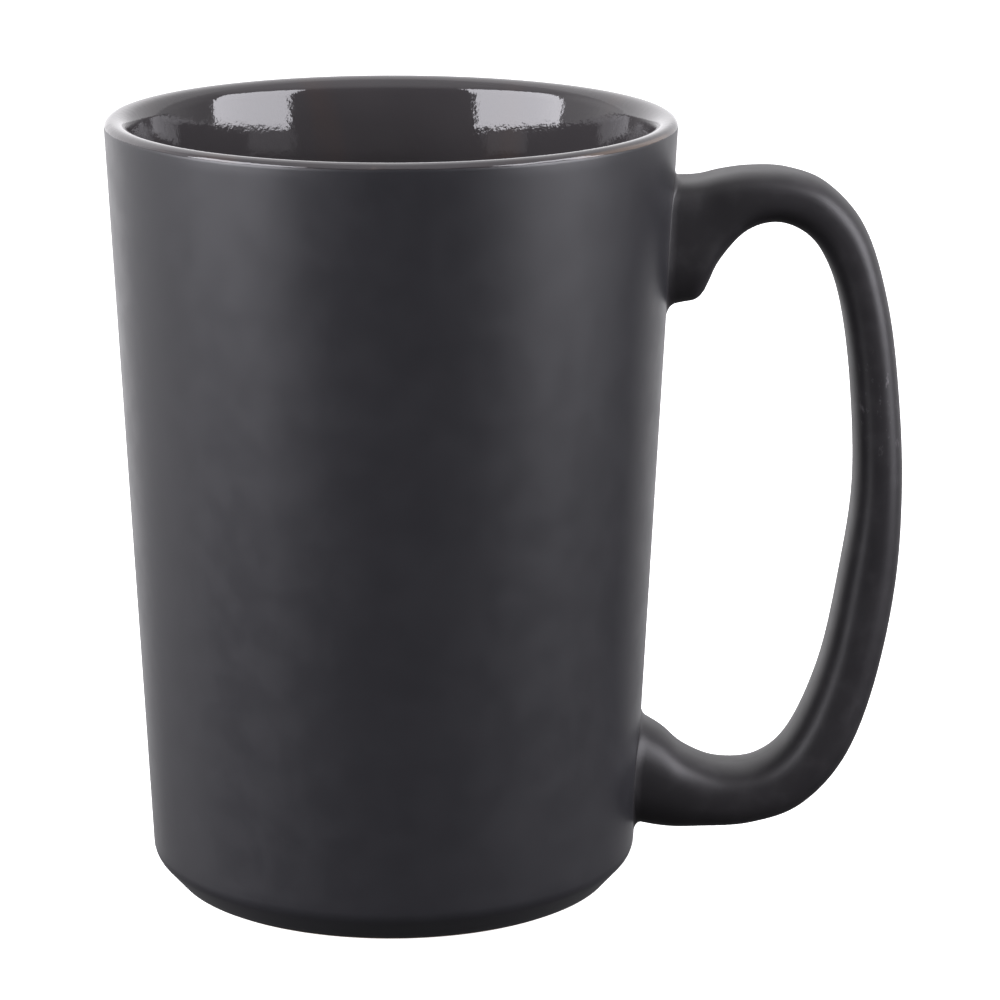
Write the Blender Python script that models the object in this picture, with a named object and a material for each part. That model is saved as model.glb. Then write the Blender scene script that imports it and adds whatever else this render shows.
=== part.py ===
"""Tall ceramic mug with a loop handle, built up from its separate pieces.

The fired clay body and the clay handle are joined by two pads of slip. A satin
glaze coats the outside wall and the handle, a gloss glaze lines the inside and
runs over the lip, and a patch of glaze fills the recess in the base. The foot
ring is bare clay. Each piece keeps a small gap to its neighbours.
"""
import math

import bmesh
import bpy
from mathutils import Vector

MM = 0.001

# Finished outline of the glazed mug. The origin is on its axis, at the foot.
HEIGHT = 120.0 * MM
MOUTH_RADIUS = 43.6 * MM
HEEL_RADIUS = 37.9 * MM
HEEL_HEIGHT = 4.4 * MM
FOOT_OUTER_RADIUS = 34.0 * MM
BELOW_FOOT = 1.0 * MM
FOOT_INNER_RADIUS = 29.6 * MM
WALL = 4.85 * MM
WALL_AT_LIP = 3.52 * MM
THINNED_FROM = 111.7 * MM
FLOOR_HEIGHT = 6.5 * MM
RECESS_HEIGHT = 0.9 * MM
RECESS_SLOPE = 1.0 * MM
RECESS_GLAZE_RADIUS = 28.2 * MM

# Roundings of the outline's corners.
HEEL_ROUNDING = 3.2 * MM
LIP_OUTER_ROUNDING = 1.2 * MM
LIP_INNER_ROUNDING = 2.7 * MM
THINNING_ROUNDING = 76.0 * MM
FLOOR_ROUNDING = 8.0 * MM

# Layers.
GLAZE = 0.5 * MM
GAP = 0.3 * MM
CLAY_DEPTH = GLAZE + GAP
SATIN_START = 0.6 * MM
SATIN_END = 118.8 * MM
GLOSS_START = SATIN_END + GAP

# Handle stations: outer edge x, z, inner edge x, z and half width across, in mm.
HANDLE_STATIONS = (
    (36.0, 110.8, 36.0, 90.0, 8.4),
    (44.0, 110.8, 44.0, 91.3, 7.7),
    (47.3, 111.0, 47.3, 92.5, 7.4),
    (50.5, 111.7, 49.9, 97.8, 7.2),
    (55.0, 112.2, 54.0, 102.5, 7.1),
    (60.7, 111.9, 58.9, 103.9, 7.1),
    (66.8, 109.5, 63.7, 101.8, 7.0),
    (72.5, 103.0, 67.0, 97.0, 7.0),
    (76.1, 92.0, 69.3, 89.4, 6.9),
    (78.2, 78.0, 70.9, 77.5, 6.8),
    (79.2, 62.0, 71.5, 62.0, 6.7),
    (78.5, 46.0, 69.7, 47.6, 6.7),
    (75.5, 29.9, 66.9, 33.5, 6.8),
    (71.1, 18.2, 62.3, 22.4, 6.9),
    (64.4, 10.6, 57.3, 17.8, 7.0),
    (56.5, 7.6, 51.0, 17.3, 7.1),
    (48.2, 7.0, 45.8, 19.5, 7.4),
    (42.4, 7.1, 42.0, 22.8, 7.8),
    (36.0, 8.4, 36.0, 26.4, 8.4),
)
SECTION_SQUARENESS = 2.6
ROOT_STATIONS = 3

# Facets.
TURNED_SIDES = 60
ARC_STEP = math.radians(30)
HANDLE_SIDES = 16
SPANS_PER_STATION = 2

WELD = 1e-6


def clear_objects():
    for item in list(bpy.data.objects):
        bpy.data.objects.remove(item, do_unlink=True)


def make_material(name, colour, roughness):
    material = bpy.data.materials.new(name)
    material.use_nodes = True
    shader = material.node_tree.nodes["Principled BSDF"]
    shader.inputs["Base Color"].default_value = (*colour, 1.0)
    shader.inputs["Roughness"].default_value = roughness
    shader.inputs["Metallic"].default_value = 0.0
    return material


def make_object(name, shape, material=None):
    mesh = bpy.data.meshes.new(name)
    shape.to_mesh(mesh)
    shape.free()
    if material is not None:
        mesh.materials.append(material)
    item = bpy.data.objects.new(name, mesh)
    bpy.context.scene.collection.objects.link(item)
    mesh.shade_smooth()
    mesh.set_sharp_from_angle(angle=math.radians(35))
    return item


def make_cutter(name, shape):
    """A closed solid that only shapes other pieces."""
    cutter = make_object(name, shape)
    cutter.hide_render = True
    cutter.display_type = "WIRE"
    return cutter


def shape_with(item, operation, cutter):
    boolean = item.modifiers.new(cutter.name, "BOOLEAN")
    boolean.operation = operation
    boolean.solver = "EXACT"
    boolean.object = cutter


# Outlines: lists of (radius, height) points that run up the outside, over the
# lip, down the inside and along the floor to the axis, with the clay on their left.

def wall_radius(height):
    """The outside radius of the straight wall."""
    climb = (height - HEEL_HEIGHT) / (HEIGHT - HEEL_HEIGHT)
    return HEEL_RADIUS + climb * (MOUTH_RADIUS - HEEL_RADIUS)


def chamfer_radius(height):
    """The outside radius of the chamfer that leads down to the foot."""
    climb = height / HEEL_HEIGHT
    return FOOT_OUTER_RADIUS + climb * (HEEL_RADIUS - FOOT_OUTER_RADIUS)


def finished_corners():
    """The corners of the outline, from just below the foot, each with its rounding."""
    return (
        ((chamfer_radius(-BELOW_FOOT), -BELOW_FOOT), 0.0),
        ((HEEL_RADIUS, HEEL_HEIGHT), HEEL_ROUNDING),
        ((MOUTH_RADIUS, HEIGHT), LIP_OUTER_ROUNDING),
        ((MOUTH_RADIUS - WALL_AT_LIP, HEIGHT), LIP_INNER_ROUNDING),
        ((wall_radius(THINNED_FROM) - WALL, THINNED_FROM), THINNING_ROUNDING),
        ((wall_radius(FLOOR_HEIGHT) - WALL, FLOOR_HEIGHT), FLOOR_ROUNDING),
        ((0.0, FLOOR_HEIGHT), 0.0),
    )


def left_normal(start, end):
    along = (end - start).normalized()
    return Vector((-along.y, along.x))


def inset_corners(depth):
    """The finished corners and their roundings, moved into the clay by a depth."""
    corners = [Vector(place) for place, rounding in finished_corners()]
    roundings = [rounding for place, rounding in finished_corners()]
    normals = [left_normal(a, b) for a, b in zip(corners, corners[1:])]
    moved = [corners[0] + normals[0] * depth]
    radii = [0.0]
    for index in range(1, len(corners) - 1):
        before, after = normals[index - 1], normals[index]
        moved.append(corners[index] + (before + after) * depth / (1 + before.dot(after)))
        turns_into_clay = before.x * after.y - before.y * after.x > 0
        radii.append(roundings[index] + (-depth if turns_into_clay else depth))
    moved.append(corners[-1] + normals[-1] * depth)
    radii.append(0.0)
    return moved, radii


def rounded_corner(before, corner, after, radius):
    """Points of the arc that rounds a corner, from tangent point to tangent point."""
    back = (before - corner).normalized()
    ahead = (after - corner).normalized()
    half_angle = back.angle(ahead) / 2
    centre = corner + (back + ahead).normalized() * radius / math.sin(half_angle)
    reach = radius / math.tan(half_angle)
    first = corner + back * reach - centre
    last = corner + ahead * reach - centre
    sweep = first.angle_signed(last)
    steps = max(2, math.ceil(abs(sweep) / ARC_STEP))
    points = []
    for step in range(steps + 1):
        turn = -sweep * step / steps
        cosine, sine = math.cos(turn), math.sin(turn)
        arm = Vector((first.x * cosine - first.y * sine, first.x * sine + first.y * cosine))
        points.append(centre + arm)
    return points


def mug_outline(depth):
    """The outline of the mug at a depth below its finished surface."""
    corners, radii = inset_corners(depth)
    outline = [corners[0]]
    for before, corner, after, radius in zip(corners, corners[1:], corners[2:], radii[1:]):
        outline += rounded_corner(before, corner, after, radius)
    outline.append(corners[-1])
    return outline


def split_outline(outline, height):
    """The part of an outline below and the part past its first climb through a height."""
    for index, (low, high) in enumerate(zip(outline, outline[1:])):
        if low.y < height <= high.y:
            crossing = low.lerp(high, (height - low.y) / (high.y - low.y))
            return outline[:index + 1] + [crossing], [crossing] + outline[index + 1:]
    raise ValueError("the outline never climbs through that height")


def turned(outline, closed):
    """The solid made by turning an outline about Z; an open one starts and ends on the axis."""
    shape = bmesh.new()
    points = [shape.verts.new((place.x, 0.0, place.y)) for place in outline]
    for start, end in zip(points, points[1:]):
        shape.edges.new((start, end))
    if closed:
        shape.edges.new((points[-1], points[0]))
    bmesh.ops.spin(
        shape,
        geom=shape.verts[:] + shape.edges[:],
        cent=(0.0, 0.0, 0.0),
        axis=(0.0, 0.0, 1.0),
        angle=math.tau,
        steps=TURNED_SIDES,
        use_merge=True,
    )
    bmesh.ops.remove_doubles(shape, verts=shape.verts, dist=WELD)
    bmesh.ops.recalc_face_normals(shape, faces=shape.faces)
    return shape


def turned_wall(offset):
    """A solid whose side stands at an offset from the finished outside wall."""
    foot = Vector((HEEL_RADIUS, HEEL_HEIGHT))
    mouth = Vector((MOUTH_RADIUS, HEIGHT))
    side = [place - left_normal(foot, mouth) * offset for place in (foot, mouth)]
    outline = [Vector((0.0, side[0].y)), *side, Vector((0.0, side[1].y))]
    return turned(outline, closed=False)


# Handle.

def handle_station(share, stations):
    """A station at a share of the way along, on a smooth curve through the given ones."""
    spans = len(stations) - 1
    index = min(int(share * spans), spans - 1)
    t = share * spans - index
    picks = [stations[min(max(index + step, 0), spans)] for step in (-1, 0, 1, 2)]
    return [
        0.5 * (2 * b + (c - a) * t + (2 * a - 5 * b + 4 * c - d) * t ** 2
               + (3 * b - a - 3 * c + d) * t ** 3) * MM
        for a, b, c, d in zip(*picks)
    ]


def squared(value):
    """Pushes a circle's sine or cosine outwards, for a rounded, squarish section."""
    return math.copysign(abs(value) ** (2 / SECTION_SQUARENESS), value)


def handle_solid(depth, stations=HANDLE_STATIONS):
    """The handle, or a stretch of it, at a depth below its finished surface."""
    spans = (len(stations) - 1) * SPANS_PER_STATION
    shape = bmesh.new()
    bmesh.ops.create_grid(shape, x_segments=spans, y_segments=HANDLE_SIDES, size=1.0)
    for vertex in shape.verts:
        share = (vertex.co.x + 1) / 2
        angle = math.pi * (vertex.co.y + 1)
        outer_x, outer_z, inner_x, inner_z, half_width = handle_station(share, stations)
        outer = Vector((outer_x, 0.0, outer_z))
        inner = Vector((inner_x, 0.0, inner_z))
        across = (outer - inner) / 2
        across *= 1 - depth / across.length
        sideways = Vector((0.0, half_width - depth, 0.0))
        middle = (outer + inner) / 2
        vertex.co = middle + across * squared(math.cos(angle)) + sideways * squared(math.sin(angle))
    bmesh.ops.remove_doubles(shape, verts=shape.verts, dist=WELD)
    bmesh.ops.holes_fill(shape, edges=shape.edges, sides=HANDLE_SIDES)
    bmesh.ops.recalc_face_normals(shape, faces=shape.faces)
    return shape


# Pieces.

def make_clay_body(clay):
    """The cup, with a bare foot ring that steps out to the face of the glaze."""
    _, bare_edge = split_outline(mug_outline(GAP), 0.0)
    foot, _ = split_outline(bare_edge, SATIN_START - GAP)
    _, wall = split_outline(mug_outline(CLAY_DEPTH), SATIN_START - GAP)
    underside = RECESS_HEIGHT + CLAY_DEPTH
    recess = [
        Vector((0.0, underside)),
        Vector((FOOT_INNER_RADIUS - RECESS_SLOPE, underside)),
        Vector((FOOT_INNER_RADIUS, 0.0)),
    ]
    make_object("clay_body", turned(recess + foot + wall, closed=False), clay)


def make_glaze_coats(satin, gloss, handle_bore):
    """The satin coat outside and the gloss lining, each a thin turned shell."""
    _, surface = split_outline(mug_outline(0.0), SATIN_START)
    _, back = split_outline(mug_outline(GLAZE), SATIN_START)
    satin_face, _ = split_outline(surface, SATIN_END)
    satin_back, _ = split_outline(back, SATIN_END)
    coat = make_object("matte_glaze_body", turned(satin_face + satin_back[::-1], True), satin)
    shape_with(coat, "DIFFERENCE", handle_bore)

    _, gloss_face = split_outline(surface, GLOSS_START)
    _, gloss_back = split_outline(back, GLOSS_START)
    make_object("gloss_glaze_lining", turned(gloss_face[::-1] + gloss_back, False), gloss)


def make_base_glaze(satin):
    low, high = RECESS_HEIGHT, RECESS_HEIGHT + GLAZE
    edge = RECESS_GLAZE_RADIUS
    outline = [Vector(place) for place in ((0.0, low), (edge, low), (edge, high), (0.0, high))]
    make_object("base_recess_glaze", turned(outline, closed=False), satin)


def make_handle(clay, slip, satin, handle_bore):
    """The clay handle in its glaze, and a slip pad between each root and the wall."""
    slip_back = make_cutter("wall_under_slip", turned_wall(-GLAZE))
    slip_face = make_cutter("wall_over_slip", turned_wall(GAP))
    handle_end = make_cutter("wall_under_handle", turned_wall(2 * GAP))

    handle = make_object("clay_handle", handle_solid(CLAY_DEPTH), clay)
    shape_with(handle, "DIFFERENCE", handle_end)

    coat = make_object("matte_glaze_handle", handle_solid(0.0), satin)
    shape_with(coat, "DIFFERENCE", slip_face)
    shape_with(coat, "DIFFERENCE", handle_bore)

    roots = {
        "upper_slip_joint": HANDLE_STATIONS[:ROOT_STATIONS],
        "lower_slip_joint": HANDLE_STATIONS[-ROOT_STATIONS:],
    }
    for name, stations in roots.items():
        pad = make_object(name, handle_solid(CLAY_DEPTH, stations), slip)
        shape_with(pad, "INTERSECT", slip_face)
        shape_with(pad, "DIFFERENCE", slip_back)


def main():
    clear_objects()
    clay = make_material("fired_clay", (0.40, 0.32, 0.24), 0.85)
    slip = make_material("fired_slip", (0.34, 0.27, 0.20), 0.85)
    satin = make_material("satin_charcoal_glaze", (0.040, 0.040, 0.046), 0.45)
    gloss = make_material("gloss_charcoal_glaze", (0.036, 0.033, 0.031), 0.12)
    handle_bore = make_cutter("handle_glaze_back", handle_solid(GLAZE))
    make_clay_body(clay)
    make_handle(clay, slip, satin, handle_bore)
    make_glaze_coats(satin, gloss, handle_bore)
    make_base_glaze(satin)


main()
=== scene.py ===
"""A tall stoneware mug with a loop handle: finished surfaces and a plain studio.

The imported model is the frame. Every one of its plain solids is stood for by a
finely turned or lofted piece of the same size, in the same place: the clay cup
and handle, the two slip pads, the satin coats, the gloss lining and the patch
of glaze in the base.
"""
import math

import bmesh
import bpy
from mathutils import Matrix, Vector, noise


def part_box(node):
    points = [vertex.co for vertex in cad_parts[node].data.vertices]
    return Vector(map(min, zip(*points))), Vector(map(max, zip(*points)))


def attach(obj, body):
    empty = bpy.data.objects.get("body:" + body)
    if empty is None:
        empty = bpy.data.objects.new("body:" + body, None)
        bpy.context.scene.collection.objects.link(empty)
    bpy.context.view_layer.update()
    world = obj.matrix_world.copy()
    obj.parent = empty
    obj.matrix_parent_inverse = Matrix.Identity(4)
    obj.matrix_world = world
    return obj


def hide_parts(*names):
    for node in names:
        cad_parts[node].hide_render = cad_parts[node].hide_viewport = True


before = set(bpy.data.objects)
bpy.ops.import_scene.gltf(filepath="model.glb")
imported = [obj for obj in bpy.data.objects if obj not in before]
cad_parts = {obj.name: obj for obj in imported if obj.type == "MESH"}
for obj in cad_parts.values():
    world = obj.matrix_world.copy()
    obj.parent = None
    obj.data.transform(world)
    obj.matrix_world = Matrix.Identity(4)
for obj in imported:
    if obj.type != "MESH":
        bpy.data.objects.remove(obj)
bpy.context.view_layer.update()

MM = 0.001

# Finished outline of the mug, on its axis from the foot up.
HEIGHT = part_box("gloss_glaze_lining")[1].z
MOUTH_RADIUS = 43.6 * MM
HEEL_RADIUS = 37.9 * MM
HEEL_HEIGHT = 4.4 * MM
FOOT_OUTER_RADIUS = 34.0 * MM
BELOW_FOOT = 1.0 * MM
FOOT_INNER_RADIUS = 29.6 * MM
WALL = 4.85 * MM
WALL_AT_LIP = 3.52 * MM
THINNED_FROM = 111.7 * MM
FLOOR_HEIGHT = 6.5 * MM
RECESS_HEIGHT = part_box("base_recess_glaze")[0].z
RECESS_GLAZE_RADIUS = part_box("base_recess_glaze")[1].x
RECESS_SLOPE = 1.0 * MM

HEEL_ROUNDING = 3.2 * MM
LIP_OUTER_ROUNDING = 1.2 * MM
LIP_INNER_ROUNDING = 2.7 * MM
THINNING_ROUNDING = 76.0 * MM
FLOOR_ROUNDING = 8.0 * MM
FOOT_ROUNDING = 0.4 * MM

# Layers.
GLAZE = 0.5 * MM
GAP = 0.3 * MM
CLAY_DEPTH = GLAZE + GAP
DRY_FOOT = 0.3 * MM
SATIN_EDGE = 0.12 * MM
GLOSS_EDGE = 0.1 * MM
PATCH_EDGE = 0.35 * MM

# The ragged edge of the gloss outside the lip: where it starts, how far it overlaps the
# satin and stands proud of it, how high the raggedness reaches, and its waves, as pairs
# of a wavelength and a height.
GLOSS_START = 119.1 * MM
SATIN_END = GLOSS_START + 0.3 * MM
GLOSS_PROUD = 0.04 * MM
RAGGED_HEIGHT = 0.9 * MM
RAGGED_WAVES = ((9.0 * MM, 0.16 * MM), (1.7 * MM, 0.09 * MM))

# Where the gloss breaks to tan: below a height, outside a radius, and on one side.
BREAK_TOP = (119.75 * MM, 119.45 * MM)
BREAK_INNER_RADIUS = MOUTH_RADIUS - LIP_OUTER_ROUNDING
BREAK_OUTER_RADIUS = MOUTH_RADIUS - 0.7 * MM
BREAK_SIDE = (0.82, -0.57, 0.0)
BREAK_SIDE_REACH = (40.8 * MM, 42.5 * MM)

# Slight waviness of hand-finished ware, sampled on a cylinder round the axis.
WAVE_RADIUS = 40.0 * MM
WAVE_FADE = 6.0 * MM
STILL_RADIUS = 10.0 * MM

# Handle stations: outer edge x, z, inner edge x, z and half width across, in mm.
HANDLE_STATIONS = (
    (36.0, 110.8, 36.0, 90.0, 8.4),
    (44.0, 110.8, 44.0, 91.3, 7.7),
    (47.3, 111.0, 47.3, 92.5, 7.4),
    (50.5, 111.7, 49.9, 97.8, 7.2),
    (55.0, 112.2, 54.0, 102.5, 7.1),
    (60.7, 111.9, 58.9, 103.9, 7.1),
    (66.8, 109.5, 63.7, 101.8, 7.0),
    (72.5, 103.0, 67.0, 97.0, 7.0),
    (76.1, 92.0, 69.3, 89.4, 6.9),
    (78.2, 78.0, 70.9, 77.5, 6.8),
    (79.2, 62.0, 71.5, 62.0, 6.7),
    (78.5, 46.0, 69.7, 47.6, 6.7),
    (75.5, 29.9, 66.9, 33.5, 6.8),
    (71.1, 18.2, 62.3, 22.4, 6.9),
    (64.4, 10.6, 57.3, 17.8, 7.0),
    (56.5, 7.6, 51.0, 17.3, 7.1),
    (48.2, 7.0, 45.8, 19.5, 7.4),
    (42.4, 7.1, 42.0, 22.8, 7.8),
    (36.0, 8.4, 36.0, 26.4, 8.4),
)
SECTION_SQUARENESS = 2.6
SHOULDER_SQUARENESS = 5.5
SHOULDER_SHARE = 0.2
SHOULDER_SINK = 0.42 * MM
EDGE_FILLET = 1.3 * MM
SIDE_FILLET = 0.2 * MM
FILLET_OVERLAP = 0.02 * MM
ROOT_REACH = 1.6
ROOT_SPAN = 0.2
ROOT_HALF_WIDTH = 12.0 * MM
OPENING_INSET = 1.1 * MM
WALL_LEAN = 0.05
CORE_DEPTH = 2.0 * MM
SCUFF_PLACE = (77.5 * MM, -4.5 * MM, 76.0 * MM)
SCUFF_REACH = 12.0 * MM
SEAM_WIDTH = 0.35 * MM
SEAM_HEIGHT = 0.05 * MM
SEAM_LEAST = 0.35
SEAM_CHANGES = 23.0
HANDLE_WAVELENGTH = 11.0 * MM
HANDLE_WAVE = 0.06 * MM

# Fineness of the meshes.
TURNED_SIDES = 256
TURNED_STEP = 1.5 * MM
CLAY_STEP = 4.0 * MM
PATCH_STEP = 3.0 * MM
ARC_STEP = math.radians(9)
LEAST_ARC_STEPS = 4
EDGE_SEGMENTS = 3
EDGE_ANGLE = math.radians(60)
HANDLE_SIDES = 80
HANDLE_ROWS = 190
HANDLE_CLAY_ROWS = 60
BACK_ROWS_APART = 4
LENGTH_STEPS = 600
FILLET_ROWS = 7
SEAM_CROWDING = 0.3
ANGLE_NUDGE = 0.02
HALVINGS = 30
SHARP = math.radians(40)
WELD = 1e-7

# Camera and lights.
CAMERA_PLACE = Vector((0.0, -0.6177, 0.21757))
CAMERA_PITCH = math.radians(14.324)
CAMERA_YAW = math.radians(1.545)
CAMERA_ROLL = math.radians(0.163)
CAMERA_LENS = 147.57
SENSOR_WIDTH = 36.0
LIT_POINT = Vector((0.0, 0.0, 0.09))
PANEL_TINT = (1.0, 0.985, 1.05)
PANEL_DISTANCE = 0.95
PANEL_ELEVATION = 18.0
PANEL_HEIGHT = 0.85
FLOOR_SIZE = 6.0
FLOOR_GLOW = 0.9

# The room as the mug sees it. Each row holds two places along a direction and the
# brightness at each. The direction "back" is Y with some of Z.
ROOM_TINT = (0.985, 0.975, 1.0, 1)
ROOM_GLOW = 0.07
UP_IN_BACK = 0.4
SPILL_ON_BACK = (0.08, 0.72, 0.0, 0.88)
WALL_ON_BACK = (0.63, 0.70, 0.0, 0.65)
DIMMER_ON_X = (0.0, 0.4, 1.0, 0.66)
DIMMER_ON_Z = (-0.40, -0.20, 0.15, 1.0)
LEFT_ON_X = (-0.68, -0.94, 0.0, 0.8)
RIGHT_ON_X = (0.78, 0.95, 0.0, 0.22)
SIDES_ON_BACK = (-0.35, 0.05)
SIDES_ON_Z = (-0.40, -0.20, 0.45, 1.0)
ABOVE_ON_Z = (0.45, 0.85, 0.0, 0.8)
SEEN_BY_CAMERA = 1.3

# Finishes: roughness and index of refraction.
SATIN_ROUGHNESS = 0.37
SATIN_REFRACTION = 1.52
HANDLE_ROUGHNESS = 0.48
HANDLE_REFRACTION = 1.46
GLOSS_REFRACTION = 1.54
PAPER_ROUGHNESS = 0.9

# Colours.
SATIN_DARK = (0.0155, 0.0153, 0.0177, 1)
SATIN_PALE = (0.0172, 0.0170, 0.0196, 1)
# The handle's two tones are the wall's satin made darker: painted shade on the handle, not a
# different glaze colour.
SHADED_HANDLE_DARK = (0.0115, 0.0105, 0.0120, 1)
SHADED_HANDLE_PALE = (0.0140, 0.0128, 0.0143, 1)
GLOSS_DARK = (0.033, 0.0305, 0.032, 1)
GLOSS_PALE = (0.038, 0.035, 0.0365, 1)
WARM_RUN = (0.050, 0.036, 0.031, 1)
TAN_BREAK = (0.100, 0.080, 0.068, 1)
DUST = (0.35, 0.34, 0.33, 1)
PIT = (0.007, 0.007, 0.008, 1)
SCUFF = (0.16, 0.15, 0.16, 1)
HAZE = (0.09, 0.085, 0.09, 1)
CLAY_LIGHT = (0.40, 0.32, 0.24, 1)
CLAY_DARK = (0.33, 0.26, 0.19, 1)
SLIP_LIGHT = (0.34, 0.27, 0.20, 1)
SLIP_DARK = (0.28, 0.22, 0.16, 1)
IRON_SPECK = (0.07, 0.035, 0.02, 1)
SAND = (0.62, 0.52, 0.41, 1)
PAPER = (0.8, 0.8, 0.8, 1)
WHITE = (1, 1, 1, 1)


# Outlines: (radius, height) points that run up the outside, over the lip, down
# the inside and along the floor to the axis, with the clay on their left.

def wall_radius(height):
    climb = (height - HEEL_HEIGHT) / (HEIGHT - HEEL_HEIGHT)
    return HEEL_RADIUS + climb * (MOUTH_RADIUS - HEEL_RADIUS)


def chamfer_radius(height):
    """The outside radius of the chamfer that leads down to the foot."""
    climb = height / HEEL_HEIGHT
    return FOOT_OUTER_RADIUS + climb * (HEEL_RADIUS - FOOT_OUTER_RADIUS)


def finished_corners():
    """Corners of the finished surface, each with its rounding."""
    return (
        ((chamfer_radius(-BELOW_FOOT), -BELOW_FOOT), 0.0),
        ((HEEL_RADIUS, HEEL_HEIGHT), HEEL_ROUNDING),
        ((MOUTH_RADIUS, HEIGHT), LIP_OUTER_ROUNDING),
        ((MOUTH_RADIUS - WALL_AT_LIP, HEIGHT), LIP_INNER_ROUNDING),
        ((wall_radius(THINNED_FROM) - WALL, THINNED_FROM), THINNING_ROUNDING),
        ((wall_radius(FLOOR_HEIGHT) - WALL, FLOOR_HEIGHT), FLOOR_ROUNDING),
        ((0.0, FLOOR_HEIGHT), 0.0),
    )


def left_normal(start, end):
    along = (end - start).normalized()
    return Vector((-along.y, along.x))


def inset_corners(depth):
    """The outline's corners and their roundings, moved into the clay by a depth."""
    corners = [Vector(place) for place, _ in finished_corners()]
    roundings = [rounding for _, rounding in finished_corners()]
    normals = [left_normal(a, b) for a, b in zip(corners, corners[1:])]
    moved = [corners[0] + normals[0] * depth]
    radii = [0.0]
    for index in range(1, len(corners) - 1):
        before, after = normals[index - 1], normals[index]
        moved.append(corners[index] + (before + after) * depth / (1 + before.dot(after)))
        turns_into_clay = before.x * after.y - before.y * after.x > 0
        radii.append(roundings[index] + (-depth if turns_into_clay else depth))
    moved.append(corners[-1] + normals[-1] * depth)
    radii.append(0.0)
    return moved, radii


def rounded_corner(before, corner, after, radius):
    """The arc that rounds a corner between two straight runs."""
    back = (before - corner).normalized()
    ahead = (after - corner).normalized()
    half_angle = back.angle(ahead) / 2
    centre = corner + (back + ahead).normalized() * radius / math.sin(half_angle)
    reach = radius / math.tan(half_angle)
    first = corner + back * reach - centre
    last = corner + ahead * reach - centre
    sweep = first.angle_signed(last)
    steps = max(LEAST_ARC_STEPS, math.ceil(abs(sweep) / ARC_STEP))
    points = []
    for step in range(steps + 1):
        turn = -sweep * step / steps
        cosine, sine = math.cos(turn), math.sin(turn)
        arm = Vector((first.x * cosine - first.y * sine, first.x * sine + first.y * cosine))
        points.append(centre + arm)
    return points


def mug_outline(depth):
    corners, radii = inset_corners(depth)
    outline = [corners[0]]
    for before, corner, after, radius in zip(corners, corners[1:], corners[2:], radii[1:]):
        outline += rounded_corner(before, corner, after, radius)
    outline.append(corners[-1])
    return outline


def split_outline(outline, height):
    """The parts of an outline below and above the first place where it climbs through a height."""
    for index, (low, high) in enumerate(zip(outline, outline[1:])):
        if low.y < height <= high.y:
            crossing = low.lerp(high, (height - low.y) / (high.y - low.y))
            return outline[:index + 1] + [crossing], [crossing] + outline[index + 1:]
    raise ValueError("the outline never climbs through that height")


def stepped(outline, step=TURNED_STEP):
    """The outline with its long straight runs cut into short steps."""
    points = [outline[0]]
    for start, end in zip(outline, outline[1:]):
        count = max(1, round((end - start).length / step))
        points += [start.lerp(end, index / count) for index in range(1, count + 1)]
    return points


# Meshes.

def turned(outline):
    """An outline spun once round the axis."""
    shape = bmesh.new()
    points = [shape.verts.new((place.x, 0.0, place.y)) for place in outline]
    for start, end in zip(points, points[1:]):
        shape.edges.new((start, end))
    bmesh.ops.spin(
        shape,
        geom=shape.verts[:] + shape.edges[:],
        cent=(0.0, 0.0, 0.0),
        axis=(0.0, 0.0, 1.0),
        angle=math.tau,
        steps=TURNED_SIDES,
        use_merge=True,
    )
    bmesh.ops.remove_doubles(shape, verts=shape.verts, dist=WELD)
    bmesh.ops.recalc_face_normals(shape, faces=shape.faces)
    return shape


def face_outwards(shape, towards):
    """Turns an open surface so that the face nearest to a point looks at it."""
    nearest = min(shape.faces, key=lambda face: (face.calc_center_median() - towards).length)
    if nearest.normal.dot(towards - nearest.calc_center_median()) < 0:
        bmesh.ops.reverse_faces(shape, faces=shape.faces)


def finish_piece(name, shape, material, node):
    """Makes an object of a shape, which stands for one node of the frame."""
    mesh = bpy.data.meshes.new(name)
    shape.to_mesh(mesh)
    shape.free()
    mesh.materials.append(material)
    piece = bpy.data.objects.new(name, mesh)
    bpy.context.scene.collection.objects.link(piece)
    mesh.shade_smooth()
    mesh.set_sharp_from_angle(angle=SHARP)
    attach(piece, "root")
    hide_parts(node)
    return piece


def thicken(piece, edge_rounding):
    """Gives an open coat its thickness, into the clay, and softens its edges."""
    solidify = piece.modifiers.new("thickness", "SOLIDIFY")
    solidify.thickness = GLAZE
    solidify.offset = -1.0
    solidify.use_even_offset = True
    bevel = piece.modifiers.new("edge", "BEVEL")
    bevel.width = edge_rounding
    bevel.segments = EDGE_SEGMENTS
    bevel.limit_method = "ANGLE"
    bevel.angle_limit = EDGE_ANGLE


def unevenness(place, wavelength, amount):
    """A slight waviness, never proud of the true surface."""
    wave = noise.noise(place / wavelength)
    return -amount * (0.5 + 0.5 * wave)


def wander(shape, wavelength, amount, seed, keep_below, keep_above):
    """Moves a turned surface in and out a little, as hand-finished ware does."""
    for vertex in shape.verts:
        radius = math.hypot(vertex.co.x, vertex.co.y)
        if radius < STILL_RADIUS:
            continue
        height = vertex.co.z
        fade = min(1.0, max(0.0, (height - keep_below) / WAVE_FADE))
        fade *= min(1.0, max(0.0, (keep_above - height) / WAVE_FADE))
        outwards = Vector((vertex.co.x, vertex.co.y, 0.0)) / radius
        spot = outwards * WAVE_RADIUS + Vector((0.0, 0.0, height + seed))
        vertex.co += outwards * unevenness(spot, wavelength, amount) * fade


# Handle.

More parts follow.
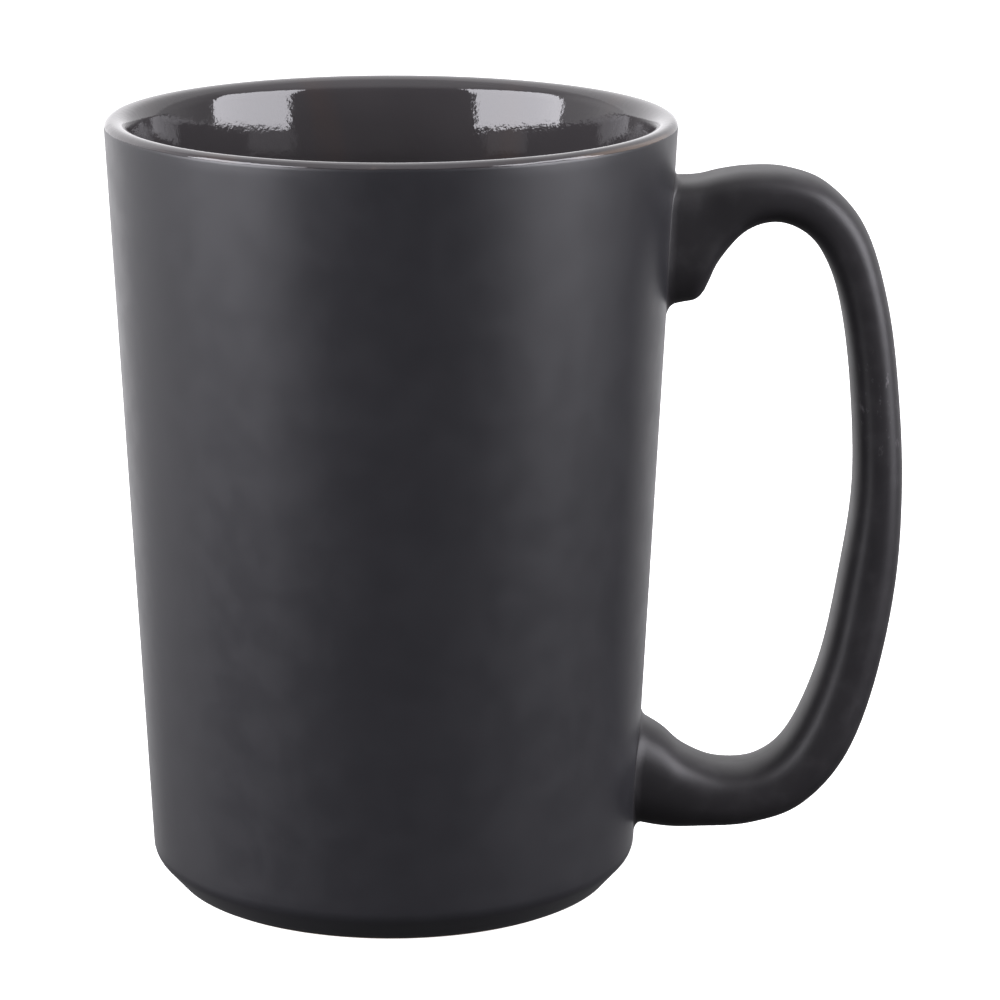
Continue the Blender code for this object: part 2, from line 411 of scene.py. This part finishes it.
def station_at(share):
    """The handle's station, in metres, at a share of the way along it, smooth between them."""
    spans = len(HANDLE_STATIONS) - 1
    index = min(int(share * spans), spans - 1)
    t = share * spans - index
    picks = [HANDLE_STATIONS[min(max(index + step, 0), spans)] for step in (-1, 0, 1, 2)]
    return [
        0.5 * (2 * b + (c - a) * t + (2 * a - 5 * b + 4 * c - d) * t ** 2
               + (3 * b - a - 3 * c + d) * t ** 3) * MM
        for a, b, c, d in zip(*picks)
    ]


def rounded_square(value, squareness):
    """Pushes a circle's sine or cosine outwards, for a rounded, squarish section."""
    return math.copysign(abs(value) ** (2 / squareness), value)


def shoulder(share, angle):
    """How strongly the top of the section is squared off: 1 at the upper root, fading out."""
    return math.exp(-(share / SHOULDER_SHARE) ** 2) if math.cos(angle) > 0 else 0.0


def handle_point(share, angle, depth):
    """A point of the handle's skin: angle 0 is its outer edge, pi its inner edge."""
    outer_x, outer_z, inner_x, inner_z, half_width = station_at(share)
    outer = Vector((outer_x, 0.0, outer_z))
    inner = Vector((inner_x, 0.0, inner_z))
    middle = (outer + inner) / 2
    squared_off = shoulder(share, angle)
    squareness = SECTION_SQUARENESS + (SHOULDER_SQUARENESS - SECTION_SQUARENESS) * squared_off
    across = (outer - inner) / 2
    across *= 1 - (depth + SHOULDER_SINK * squared_off) / across.length
    sideways = Vector((0.0, half_width - depth, 0.0))
    across *= rounded_square(math.cos(angle), squareness)
    sideways *= rounded_square(math.sin(angle), squareness)
    return middle + across + sideways


def handle_shares(count):
    """Shares of the way along the handle at even steps of its length."""
    middles = []
    for step in range(LENGTH_STEPS + 1):
        outer_x, outer_z, inner_x, inner_z, _ = station_at(step / LENGTH_STEPS)
        middles.append(Vector((outer_x + inner_x, outer_z + inner_z)) / 2)
    lengths = [0.0]
    for start, end in zip(middles, middles[1:]):
        lengths.append(lengths[-1] + (end - start).length)
    shares = []
    index = 0
    for step in range(count + 1):
        wanted = lengths[-1] * step / count
        while index < LENGTH_STEPS - 1 and lengths[index + 1] < wanted:
            index += 1
        part = (wanted - lengths[index]) / (lengths[index + 1] - lengths[index])
        shares.append((index + part) / LENGTH_STEPS)
    return shares


def off_wall(place):
    """How far a point stands off the outside wall."""
    slope = (MOUTH_RADIUS - HEEL_RADIUS) / (HEIGHT - HEEL_HEIGHT)
    radius = math.hypot(place.x, place.y)
    return (radius - wall_radius(place.z)) / math.sqrt(1 + slope ** 2)


def share_off_wall(upper, angle, depth, distance):
    """The share along the handle where a line of its skin is a given distance off the wall."""
    near, far = (0.0, ROOT_SPAN) if upper else (1.0, 1.0 - ROOT_SPAN)
    for _ in range(HALVINGS):
        middle = (near + far) / 2
        if off_wall(handle_point(middle, angle, depth)) < distance:
            near = middle
        else:
            far = middle
    return (near + far) / 2


def section_angle(column):
    """Angles round the section, closer together near the two seams."""
    turn = math.tau * column / HANDLE_SIDES
    return turn - SEAM_CROWDING * math.sin(2 * turn)


def root_fillet(angle):
    """The fillet at a root is fuller at the top and underside than at the sides."""
    return SIDE_FILLET + (EDGE_FILLET - SIDE_FILLET) * math.cos(angle) ** 4


def root_point(upper, angle, depth, turn):
    """A point of the fillet that runs a root out onto the wall; turn 0 lies on the wall."""
    fillet = root_fillet(angle)
    distance = fillet * (1 - math.cos(turn)) - FILLET_OVERLAP
    flare = fillet * (1 - math.sin(turn)) * ROOT_REACH
    share = share_off_wall(upper, angle, depth, distance)
    place = handle_point(share, angle, depth)
    along = handle_point(share, angle + ANGLE_NUDGE, depth)
    along -= handle_point(share, angle - ANGLE_NUDGE, depth)
    lean = -WALL_LEAN * math.hypot(place.x, place.y)
    wall_normal = Vector((place.x, place.y, lean)).normalized()
    outwards = wall_normal.cross(along).normalized()
    middle = (handle_point(share, 0.0, depth) + handle_point(share, math.pi, depth)) / 2
    if outwards.dot(place - middle) < 0:
        outwards.negate()
    spread = place + outwards * flare
    radius = math.hypot(spread.x, spread.y)
    wanted = wall_radius(spread.z) + distance
    return Vector((spread.x * wanted / radius, spread.y * wanted / radius, spread.z))


def seam_lift(angle, share):
    """The trace of the mould's seam along the outer and inner edges."""
    half_width = station_at(share)[-1]
    sideways = half_width * rounded_square(math.sin(angle), SECTION_SQUARENESS)
    rise = max(0.0, noise.noise(Vector((share * SEAM_CHANGES, 4.0, 0.0))))
    strength = SEAM_LEAST + (1 - SEAM_LEAST) * rise
    return SEAM_HEIGHT * strength * math.exp(-(sideways / SEAM_WIDTH) ** 2)


def handle_skin(depth, with_roots):
    """Rows of points along the handle's skin, each a list of points round its section."""
    columns = [section_angle(column) for column in range(HANDLE_SIDES)]
    clear = [root_fillet(angle) - FILLET_OVERLAP for angle in columns]
    first = [share_off_wall(True, angle, depth, gap) for angle, gap in zip(columns, clear)]
    last = [share_off_wall(False, angle, depth, gap) for angle, gap in zip(columns, clear)]
    rows = []
    if with_roots:
        for step in range(FILLET_ROWS):
            turn = math.pi / 2 * step / FILLET_ROWS
            rows.append([root_point(True, angle, depth, turn) for angle in columns])
    for even in handle_shares(HANDLE_ROWS):
        row = []
        for angle, start, end in zip(columns, first, last):
            share = start + (end - start) * even
            place = handle_point(share, angle, depth)
            core = handle_point(share, angle, CORE_DEPTH)
            outwards = (place - core).normalized()
            lift = seam_lift(angle, share) + unevenness(place, HANDLE_WAVELENGTH, HANDLE_WAVE)
            row.append(place + outwards * lift)
        rows.append(row)
    if with_roots:
        for step in reversed(range(FILLET_ROWS)):
            turn = math.pi / 2 * step / FILLET_ROWS
            rows.append([root_point(False, angle, depth, turn) for angle in columns])
    return rows


def sleeve(rows, joined_ends):
    """A tube through rows of points; its last row can close onto its first."""
    if joined_ends:
        rows = rows + [rows[0]]
    sides = len(rows[0])
    shape = bmesh.new()
    bmesh.ops.create_grid(shape, x_segments=len(rows) - 1, y_segments=sides, size=1.0)
    for vertex in shape.verts:
        row = round((vertex.co.x + 1) / 2 * (len(rows) - 1))
        column = round((vertex.co.y + 1) / 2 * sides) % sides
        vertex.co = rows[row][column]
    bmesh.ops.remove_doubles(shape, verts=shape.verts, dist=WELD)
    if not joined_ends:
        bmesh.ops.holes_fill(shape, edges=shape.edges, sides=sides)
    bmesh.ops.recalc_face_normals(shape, faces=shape.faces)
    return shape


def root_rows(upper, depth, low, high):
    """Rows of the handle's section between two distances off the wall."""
    columns = [section_angle(column) for column in range(HANDLE_SIDES)]
    rows = []
    for distance in (low, (low + high) / 2, high):
        rows.append([
            handle_point(share_off_wall(upper, angle, depth, distance), angle, depth)
            for angle in columns
        ])
    return rows


# Materials.

def feed(tree, socket, value):
    """Links a socket to another one, or sets it to a plain value."""
    if isinstance(value, bpy.types.NodeSocket):
        tree.links.new(value, socket)
    else:
        socket.default_value = value


def put(tree, kind, settings=None, values=(), **named):
    """Adds a node, with its first inputs fed in order and the others by name."""
    item = tree.nodes.new(kind)
    for name, value in (settings or {}).items():
        setattr(item, name, value)
    for socket, value in zip(item.inputs, values):
        feed(tree, socket, value)
    for name, value in named.items():
        feed(tree, item.inputs[name], value)
    return item


def vector_maths(tree, operation, *values):
    return put(tree, "ShaderNodeVectorMath", {"operation": operation}, values)


def new_material(name):
    material = bpy.data.materials.new(name)
    material.use_nodes = True
    tree = material.node_tree
    shader = tree.nodes["Principled BSDF"]
    place = put(tree, "ShaderNodeTexCoord").outputs["Object"]
    return material, tree, shader, place


def stretched(tree, place, scale):
    return put(tree, "ShaderNodeMapping", Vector=place, Scale=scale).outputs[0]


def cloud(tree, place, scale, detail=2.0, roughness=0.5):
    item = put(tree, "ShaderNodeTexNoise", Vector=place, Scale=scale, Detail=detail,
               Roughness=roughness)
    return item.outputs["Fac"]


def ramp(tree, value, low, high, to_low=0.0, to_high=1.0):
    """A soft step: to_low at low, to_high at high."""
    values = (value, low, high, to_low, to_high)
    return put(tree, "ShaderNodeMapRange", {"interpolation_type": "SMOOTHSTEP"}, values).outputs[0]


def maths(tree, operation, first, second=0.0):
    return put(tree, "ShaderNodeMath", {"operation": operation}, (first, second)).outputs[0]


def blend_colours(tree, share, first, second):
    """One colour laid over another by a share; inputs 6 and 7 of the node are its colours."""
    item = put(tree, "ShaderNodeMix", {"data_type": "RGBA"})
    for index, value in ((0, share), (6, first), (7, second)):
        feed(tree, item.inputs[index], value)
    return item.outputs[2]


def relief(tree, height, depth, over=None):
    """A bump of a given depth, laid over another one."""
    item = put(tree, "ShaderNodeBump", Height=height, Distance=depth, Strength=1.0)
    if over is not None:
        tree.links.new(over, item.inputs["Normal"])
    return item.outputs[0]


def specks(tree, place, scale, size, share):
    """Small scattered dots: 1 inside a dot, 0 outside."""
    cells = put(tree, "ShaderNodeTexVoronoi", Vector=place, Scale=scale)
    near = ramp(tree, cells.outputs["Distance"], size, size * 0.5)
    pick = put(tree, "ShaderNodeSeparateColor", Color=cells.outputs["Color"]).outputs[0]
    chosen = maths(tree, "LESS_THAN", pick, share)
    return maths(tree, "MULTIPLY", near, chosen)


def satin_glaze(name, dark, pale, roughness, refraction, scuffed=False):
    """A matt coat with slight mottling, dust and pits, and scuffs where it is held."""
    material, tree, shader, place = new_material(name)
    broad = cloud(tree, place, scale=26.0, detail=2.0)
    mottle = cloud(tree, place, scale=190.0, detail=3.0)
    most = maths(tree, "MULTIPLY", broad, 0.6)
    rest = maths(tree, "MULTIPLY", mottle, 0.4)
    tone = ramp(tree, maths(tree, "ADD", most, rest), 0.35, 0.65)
    colour = blend_colours(tree, tone, dark, pale)
    dust = specks(tree, place, scale=95.0, size=0.012, share=0.3)
    pits = specks(tree, place, scale=420.0, size=0.05, share=0.12)
    colour = blend_colours(tree, maths(tree, "MULTIPLY", dust, 0.6), colour, DUST)
    colour = blend_colours(tree, maths(tree, "MULTIPLY", pits, 0.5), colour, PIT)
    rough = maths(
        tree,
        "ADD",
        ramp(tree, mottle, 0.3, 0.7, roughness - 0.02, roughness + 0.02),
        ramp(tree, broad, 0.3, 0.7, -0.005, 0.005),
    )
    if scuffed:
        away = vector_maths(tree, "DISTANCE", place, SCUFF_PLACE).outputs["Value"]
        worn = ramp(tree, away, SCUFF_REACH, 0.2 * SCUFF_REACH)
        drawn_out = stretched(tree, place, (1.0, 1.0, 0.45))
        rubbed = cloud(tree, drawn_out, scale=1100.0, detail=3.0, roughness=0.65)
        scuff = maths(tree, "MULTIPLY", worn, ramp(tree, rubbed, 0.58, 0.72))
        colour = blend_colours(tree, maths(tree, "MULTIPLY", scuff, 0.5), colour, SCUFF)
        haze = cloud(tree, place, scale=330.0, detail=3.0)
        colour = blend_colours(tree, ramp(tree, haze, 0.45, 0.75, 0.0, 0.08), colour, HAZE)
    tree.links.new(colour, shader.inputs["Base Color"])
    tree.links.new(rough, shader.inputs["Roughness"])
    grain = cloud(tree, place, scale=2600.0, detail=2.0)
    ripple = cloud(tree, place, scale=420.0, detail=2.0)
    normal = relief(tree, ripple, depth=6e-6)
    normal = relief(tree, grain, depth=2.5e-6, over=normal)
    normal = relief(tree, maths(tree, "MULTIPLY", pits, -1.0), depth=1e-5, over=normal)
    tree.links.new(normal, shader.inputs["Normal"])
    shader.inputs["IOR"].default_value = refraction
    return material


def lip_break(tree, place):
    """Where the gloss runs thin outside the lip: mostly on one side, in patches elsewhere."""
    height = put(tree, "ShaderNodeSeparateXYZ", Vector=place).outputs["Z"]
    thin = ramp(tree, height, *BREAK_TOP)
    flat = vector_maths(tree, "MULTIPLY", place, (1.0, 1.0, 0.0)).outputs[0]
    radius = vector_maths(tree, "LENGTH", flat).outputs["Value"]
    outside = ramp(tree, radius, BREAK_INNER_RADIUS, BREAK_OUTER_RADIUS)
    towards = vector_maths(tree, "DOT_PRODUCT", place, BREAK_SIDE).outputs["Value"]
    main = ramp(tree, towards, *BREAK_SIDE_REACH)
    patches = ramp(tree, cloud(tree, place, scale=240.0, detail=3.0), 0.60, 0.72, 0.0, 0.35)
    lip = maths(tree, "MULTIPLY", thin, outside)
    return maths(tree, "MULTIPLY", lip, maths(tree, "ADD", main, patches))


def gloss_glaze(name):
    """A glossy coat with an orange-peel surface and faint warm runs."""
    material, tree, shader, place = new_material(name)
    broad = cloud(tree, place, scale=34.0, detail=2.0)
    runs = cloud(tree, stretched(tree, place, (95.0, 95.0, 16.0)), scale=1.0, detail=2.0)
    colour = blend_colours(tree, ramp(tree, broad, 0.35, 0.65), GLOSS_DARK, GLOSS_PALE)
    colour = blend_colours(tree, ramp(tree, runs, 0.50, 0.80, 0.0, 0.5), colour, WARM_RUN)
    colour = blend_colours(tree, lip_break(tree, place), colour, TAN_BREAK)
    tree.links.new(colour, shader.inputs["Base Color"])
    rough = ramp(tree, broad, 0.3, 0.7, 0.035, 0.07)
    tree.links.new(rough, shader.inputs["Roughness"])
    swell = cloud(tree, place, scale=110.0, detail=1.0)
    peel = cloud(tree, place, scale=1000.0, detail=2.0)
    pin = cloud(tree, place, scale=2600.0, detail=1.0)
    normal = relief(tree, swell, depth=1.2e-5)
    normal = relief(tree, peel, depth=1.7e-5, over=normal)
    normal = relief(tree, pin, depth=5e-6, over=normal)
    tree.links.new(normal, shader.inputs["Normal"])
    shader.inputs["IOR"].default_value = GLOSS_REFRACTION
    return material


def bare_clay(name, light, dark):
    """Dry, sandy clay with scattered iron specks."""
    material, tree, shader, place = new_material(name)
    broad = cloud(tree, place, scale=60.0, detail=3.0)
    colour = blend_colours(tree, ramp(tree, broad, 0.35, 0.65), light, dark)
    iron = specks(tree, place, scale=650.0, size=0.16, share=0.18)
    sand = cloud(tree, place, scale=3200.0, detail=3.0)
    colour = blend_colours(tree, maths(tree, "MULTIPLY", iron, 0.8), colour, IRON_SPECK)
    colour = blend_colours(tree, ramp(tree, sand, 0.45, 0.75, 0.0, 0.35), colour, SAND)
    tree.links.new(colour, shader.inputs["Base Color"])
    tree.links.new(ramp(tree, sand, 0.3, 0.7, 0.72, 0.92), shader.inputs["Roughness"])
    normal = relief(tree, sand, depth=2.5e-5)
    normal = relief(tree, maths(tree, "MULTIPLY", iron, -1.0), depth=2e-5, over=normal)
    tree.links.new(normal, shader.inputs["Normal"])
    return material


# Pieces.

def make_clay_cup(clay):
    """The cup, with a bare foot ring ground flat."""
    _, bare_edge = split_outline(mug_outline(GAP), 0.0)
    foot, _ = split_outline(bare_edge, DRY_FOOT)
    _, wall = split_outline(mug_outline(CLAY_DEPTH), DRY_FOOT)
    underside = RECESS_HEIGHT + CLAY_DEPTH
    recess = [Vector((0.0, underside)), Vector((FOOT_INNER_RADIUS - RECESS_SLOPE, underside))]
    inner_edge = Vector((FOOT_INNER_RADIUS, 0.0))
    recess += rounded_corner(recess[-1], inner_edge, foot[0], FOOT_ROUNDING)
    shape = turned(stepped(recess + foot + wall, CLAY_STEP))
    finish_piece("cup_of_fired_clay", shape, clay, "clay_body")


def inside_root(place, upper):
    """True where a point of the wall lies well inside a root of the handle."""
    depth = OPENING_INSET
    edge = [
        handle_point(share_off_wall(upper, angle, depth, 0.0), angle, depth)
        for angle in (0.0, math.pi / 2, math.pi)
    ]
    middle = (edge[0].z + edge[2].z) / 2
    up = (place.z - middle) / abs(edge[0].z - middle)
    across = place.y / abs(edge[1].y)
    return abs(up) ** SECTION_SQUARENESS + abs(across) ** SECTION_SQUARENESS < 1


def make_wall_coat(satin):
    """The satin coat on the outside wall, open under each root of the handle."""
    _, surface = split_outline(mug_outline(0.0), DRY_FOOT)
    surface, _ = split_outline(surface, SATIN_END)
    shape = turned(stepped(surface))
    face_outwards(shape, Vector((1.0, 0.0, HEIGHT / 2)))
    wander(shape, wavelength=34 * MM, amount=0.012 * MM, seed=0.0,
           keep_below=6 * MM, keep_above=117 * MM)
    covered = []
    for face in shape.faces:
        middle = face.calc_center_median()
        if middle.x > 0 and abs(middle.y) < ROOT_HALF_WIDTH:
            if inside_root(middle, True) or inside_root(middle, False):
                covered.append(face)
    bmesh.ops.delete(shape, geom=covered, context="FACES")
    coat = finish_piece("satin_coat_on_wall", shape, satin, "matte_glaze_body")
    thicken(coat, SATIN_EDGE)


def make_lining(gloss):
    """The gloss lining, which runs over the lip to a slightly ragged edge outside."""
    _, surface = split_outline(mug_outline(0.0), GLOSS_START)
    shape = turned(stepped(surface))
    face_outwards(shape, Vector((0.0, 0.0, 1.0)))
    wander(shape, wavelength=19 * MM, amount=0.03 * MM, seed=3.0,
           keep_below=8 * MM, keep_above=114 * MM)
    ragged_top = GLOSS_START + RAGGED_HEIGHT
    for vertex in shape.verts:
        radius = math.hypot(vertex.co.x, vertex.co.y)
        if radius > MOUTH_RADIUS - LIP_OUTER_ROUNDING and vertex.co.z > GLOSS_START - MM:
            outwards = Vector((vertex.co.x, vertex.co.y, 0.0)) / radius
            edge = min(1.0, max(0.0, (ragged_top - vertex.co.z) / RAGGED_HEIGHT))
            spot = outwards * WAVE_RADIUS
            drift = sum(rise * noise.noise(spot / length) for length, rise in RAGGED_WAVES)
            vertex.co.z += drift * edge
            vertex.co += outwards * GLOSS_PROUD * edge
    coat = finish_piece("gloss_lining_and_lip", shape, gloss, "gloss_glaze_lining")
    thicken(coat, GLOSS_EDGE)


def make_handle(clay, slip, satin):
    """The clay handle, its satin coat with filleted roots, and the two slip pads."""
    skin = handle_skin(0.0, with_roots=True)
    back = handle_skin(GLAZE, with_roots=False)
    ends = [root_rows(upper, GLAZE, 0.0, GAP)[0] for upper in (True, False)]
    lined = skin + [ends[1]] + back[::-BACK_ROWS_APART] + [ends[0]]
    finish_piece("satin_coat_on_handle", sleeve(lined, joined_ends=True), satin,
                 "matte_glaze_handle")

    columns = [section_angle(column) for column in range(HANDLE_SIDES)]
    rows = []
    for even in handle_shares(HANDLE_CLAY_ROWS):
        row = []
        for angle in columns:
            start = share_off_wall(True, angle, CLAY_DEPTH, 2 * GAP)
            end = share_off_wall(False, angle, CLAY_DEPTH, 2 * GAP)
            row.append(handle_point(start + (end - start) * even, angle, CLAY_DEPTH))
        rows.append(row)
    finish_piece("handle_of_fired_clay", sleeve(rows, joined_ends=False), clay,
                 "clay_handle")

    for name, node, upper in (
        ("upper_slip_pad", "upper_slip_joint", True),
        ("lower_slip_pad", "lower_slip_joint", False),
    ):
        pad = sleeve(root_rows(upper, CLAY_DEPTH, -GLAZE, GAP), joined_ends=False)
        finish_piece(name, pad, slip, node)


def make_base_patch(satin):
    """The glaze in the recess of the base, a thin patch with a rounded edge."""
    low, high = RECESS_HEIGHT, RECESS_HEIGHT + GLAZE
    edge = RECESS_GLAZE_RADIUS
    outline = [Vector((0.0, low))]
    outline += rounded_corner(outline[0], Vector((edge, low)), Vector((edge, high)), PATCH_EDGE)
    outline += [Vector((edge, high)), Vector((0.0, high))]
    finish_piece("satin_patch_in_base", turned(stepped(outline, PATCH_STEP)), satin,
                 "base_recess_glaze")


# Studio.

def make_camera():
    forward = Vector((
        math.sin(CAMERA_YAW) * math.cos(CAMERA_PITCH),
        math.cos(CAMERA_YAW) * math.cos(CAMERA_PITCH),
        -math.sin(CAMERA_PITCH),
    ))
    right = Vector((math.cos(CAMERA_YAW), -math.sin(CAMERA_YAW), 0.0))
    up = right.cross(forward)
    leaned_right = right * math.cos(CAMERA_ROLL) + up * math.sin(CAMERA_ROLL)
    leaned_up = up * math.cos(CAMERA_ROLL) - right * math.sin(CAMERA_ROLL)
    data = bpy.data.cameras.new("camera")
    data.lens = CAMERA_LENS
    data.sensor_width = SENSOR_WIDTH
    camera = bpy.data.objects.new("camera", data)
    turn = Matrix((leaned_right, leaned_up, -forward)).transposed().to_4x4()
    camera.matrix_world = Matrix.Translation(CAMERA_PLACE) @ turn
    bpy.context.scene.collection.objects.link(camera)
    bpy.context.scene.camera = camera


def make_panel(name, azimuth, width, brightness):
    """A soft light panel that faces the mug; azimuth 0 is behind the camera, + to the right."""
    turn, lift = math.radians(azimuth), math.radians(PANEL_ELEVATION)
    direction = Vector((
        math.sin(turn) * math.cos(lift),
        -math.cos(turn) * math.cos(lift),
        math.sin(lift),
    ))
    data = bpy.data.lights.new(name, "AREA")
    data.shape = "RECTANGLE"
    data.size = width
    data.size_y = PANEL_HEIGHT
    data.energy = brightness * math.pi * width * PANEL_HEIGHT
    data.color = PANEL_TINT
    panel = bpy.data.objects.new(name, data)
    panel.location = LIT_POINT + direction * PANEL_DISTANCE
    panel.rotation_euler = direction.to_track_quat("Z", "Y").to_euler()
    panel.visible_camera = False
    bpy.context.scene.collection.objects.link(panel)


def room_glow(tree):
    """How bright the room is in each direction: bright behind and above, dim in front."""
    direction = put(tree, "ShaderNodeTexCoord").outputs["Generated"]
    parts = put(tree, "ShaderNodeSeparateXYZ", Vector=direction).outputs
    x, y, z = parts["X"], parts["Y"], parts["Z"]
    back = maths(tree, "ADD", y, maths(tree, "MULTIPLY", z, UP_IN_BACK))
    behind = maths(tree, "ADD", ramp(tree, back, *SPILL_ON_BACK), ramp(tree, back, *WALL_ON_BACK))
    dimmer = maths(tree, "MULTIPLY", ramp(tree, x, *DIMMER_ON_X), ramp(tree, z, *DIMMER_ON_Z))
    behind = maths(tree, "MULTIPLY", behind, dimmer)
    sides = maths(tree, "ADD", ramp(tree, x, *LEFT_ON_X), ramp(tree, x, *RIGHT_ON_X))
    extent = maths(tree, "MULTIPLY", ramp(tree, back, *SIDES_ON_BACK), ramp(tree, z, *SIDES_ON_Z))
    sides = maths(tree, "MULTIPLY", sides, extent)
    around = maths(tree, "ADD", maths(tree, "ADD", behind, sides), ROOM_GLOW)
    return maths(tree, "MAXIMUM", around, ramp(tree, z, *ABOVE_ON_Z))


def make_world():
    """White to the camera; to the mug, a soft room."""
    world = bpy.data.worlds.new("studio")
    bpy.context.scene.world = world
    world.use_nodes = True
    tree = world.node_tree
    tree.nodes.clear()
    room = put(tree, "ShaderNodeBackground", Color=ROOM_TINT, Strength=room_glow(tree))
    seen = put(tree, "ShaderNodeBackground", Color=WHITE, Strength=SEEN_BY_CAMERA)
    camera_ray = put(tree, "ShaderNodeLightPath").outputs["Is Camera Ray"]
    mix = put(tree, "ShaderNodeMixShader", values=(camera_ray, room.outputs[0], seen.outputs[0]))
    put(tree, "ShaderNodeOutputWorld", Surface=mix.outputs[0])


def make_floor():
    shape = bmesh.new()
    bmesh.ops.create_grid(shape, x_segments=1, y_segments=1, size=FLOOR_SIZE)
    mesh = bpy.data.meshes.new("floor")
    shape.to_mesh(mesh)
    shape.free()
    floor = bpy.data.objects.new("floor", mesh)
    bpy.context.scene.collection.objects.link(floor)
    material, _, shader, _ = new_material("pale_paper")
    shader.inputs["Base Color"].default_value = PAPER
    shader.inputs["Roughness"].default_value = PAPER_ROUGHNESS
    shader.inputs["Specular IOR Level"].default_value = 0.0
    shader.inputs["Emission Color"].default_value = WHITE
    shader.inputs["Emission Strength"].default_value = FLOOR_GLOW
    mesh.materials.append(material)
    floor.visible_glossy = False
    floor.visible_diffuse = False


def main():
    clay = bare_clay("fired_clay_surface", CLAY_LIGHT, CLAY_DARK)
    slip = bare_clay("fired_slip_surface", SLIP_LIGHT, SLIP_DARK)
    satin = satin_glaze("satin_charcoal_surface", SATIN_DARK, SATIN_PALE,
                        SATIN_ROUGHNESS, SATIN_REFRACTION)
    # The handle's coat is the wall's satin, rougher and less shiny; its darker colour is painted
    # shade.
    handle_satin_painted_shade = satin_glaze("satin_handle_surface_painted_shade", SHADED_HANDLE_DARK, SHADED_HANDLE_PALE,
                          HANDLE_ROUGHNESS, HANDLE_REFRACTION, scuffed=True)
    gloss = gloss_glaze("gloss_charcoal_surface")
    make_clay_cup(clay)
    make_wall_coat(satin)
    make_lining(gloss)
    make_handle(clay, slip, handle_satin_painted_shade)
    make_base_patch(satin)
    make_camera()
    make_world()
    make_floor()
    make_panel("left_panel", azimuth=-63.3, width=0.79, brightness=9.0)
    make_panel("right_panel", azimuth=69.4, width=0.71, brightness=8.3)
    bpy.context.scene.view_settings.view_transform = "Standard"
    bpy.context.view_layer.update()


main()
